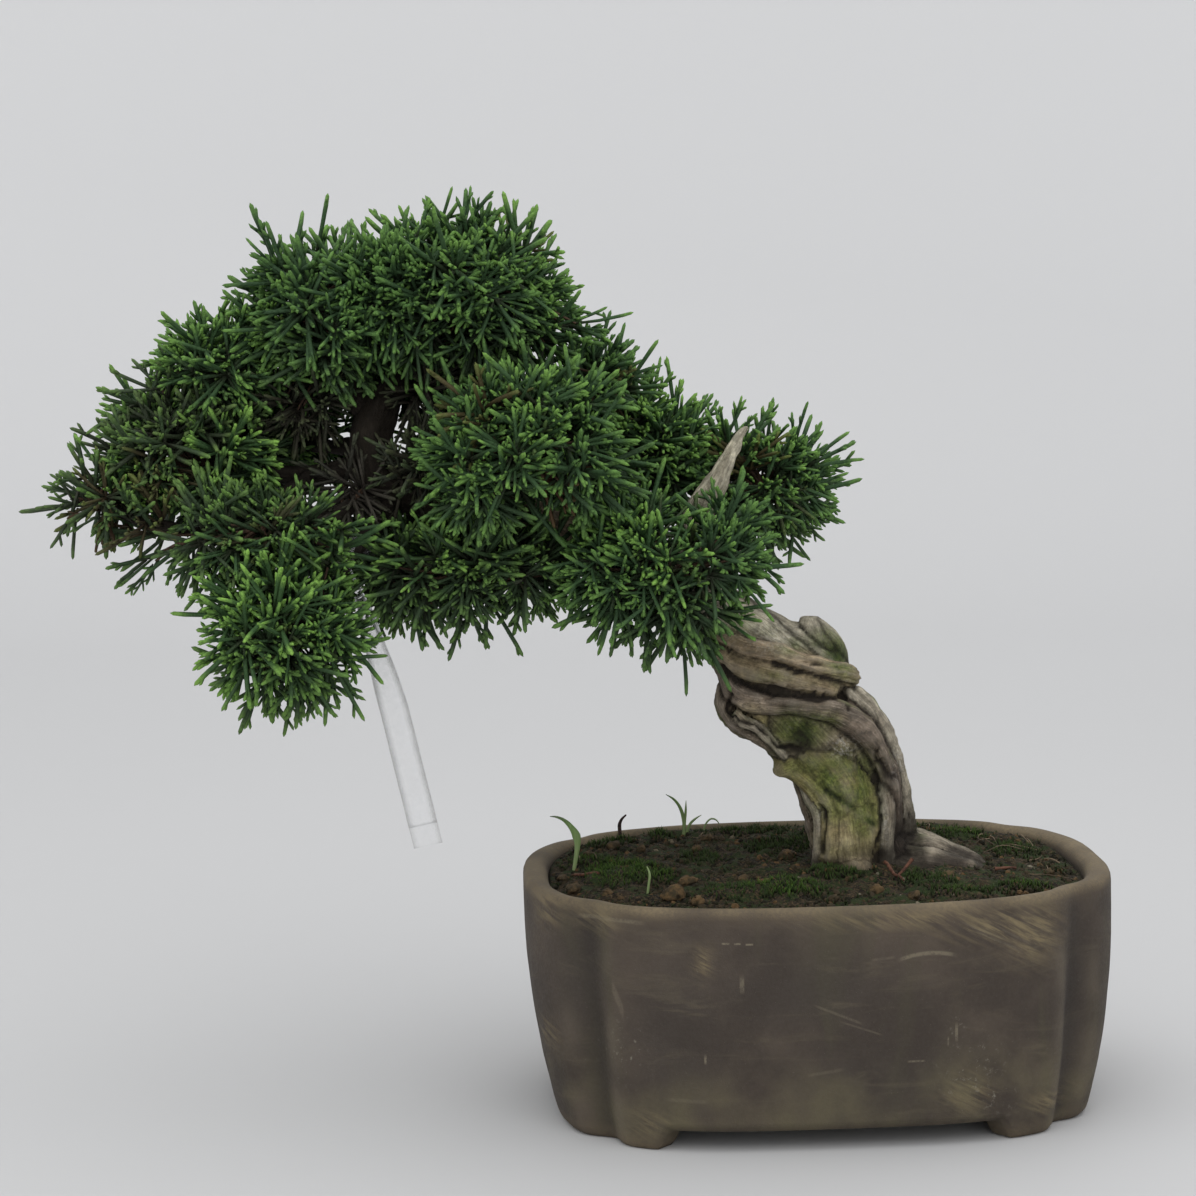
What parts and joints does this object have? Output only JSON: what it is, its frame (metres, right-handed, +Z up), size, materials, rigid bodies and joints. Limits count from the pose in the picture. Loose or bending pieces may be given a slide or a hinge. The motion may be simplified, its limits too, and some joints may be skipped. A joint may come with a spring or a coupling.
{
  "type": "potted juniper bonsai",
  "caption": "Leaning juniper bonsai with a twisted, partly bleached trunk and rounded clouds of cord-like foliage, planted in a footed, dark rounded-rectangle pot.",
  "frame": {"origin": "centre of the bounding box at the level of the pot's feet, on the surface it stands on", "axes": "+X along the pot's long side, away from the side the tree leans to; +Y from the front of the tree to its back; +Z up"},
  "size_m": [0.3336, 0.1522, 0.2855],
  "materials": {
    "stoneware": "matte",
    "soil": "matte",
    "juniper_wood": "matte",
    "juniper_foliage": "satin",
    "drain_mesh": "matte",
    "seedling": "satin",
    "dead_stalk": "matte",
    "clear_film": "gloss"
  },
  "bodies": {
    "root": {"pot": "stoneware", "drain_mesh_left": "drain_mesh", "drain_mesh_right": "drain_mesh", "soil": "soil", "trunk": "juniper_wood", "foliage_crown_right": "juniper_foliage", "foliage_crown_left": "juniper_foliage", "foliage_crown_back": "juniper_foliage", "foliage_shoulder_left": "juniper_foliage", "foliage_left_middle": "juniper_foliage", "foliage_left_back": "juniper_foliage", "foliage_left_tip": "juniper_foliage", "foliage_left_front": "juniper_foliage", "foliage_left_ball": "juniper_foliage", "foliage_middle_front": "juniper_foliage", "foliage_middle_low": "juniper_foliage", "foliage_right_low": "juniper_foliage", "foliage_right_back": "juniper_foliage", "foliage_far_right": "juniper_foliage", "foliage_middle_back": "juniper_foliage", "foliage_low_back": "juniper_foliage", "grass_blade": "seedling", "grass_tuft": "seedling", "dead_stalk": "dead_stalk", "label_strip": "clear_film"}
  },
  "joints": []
}
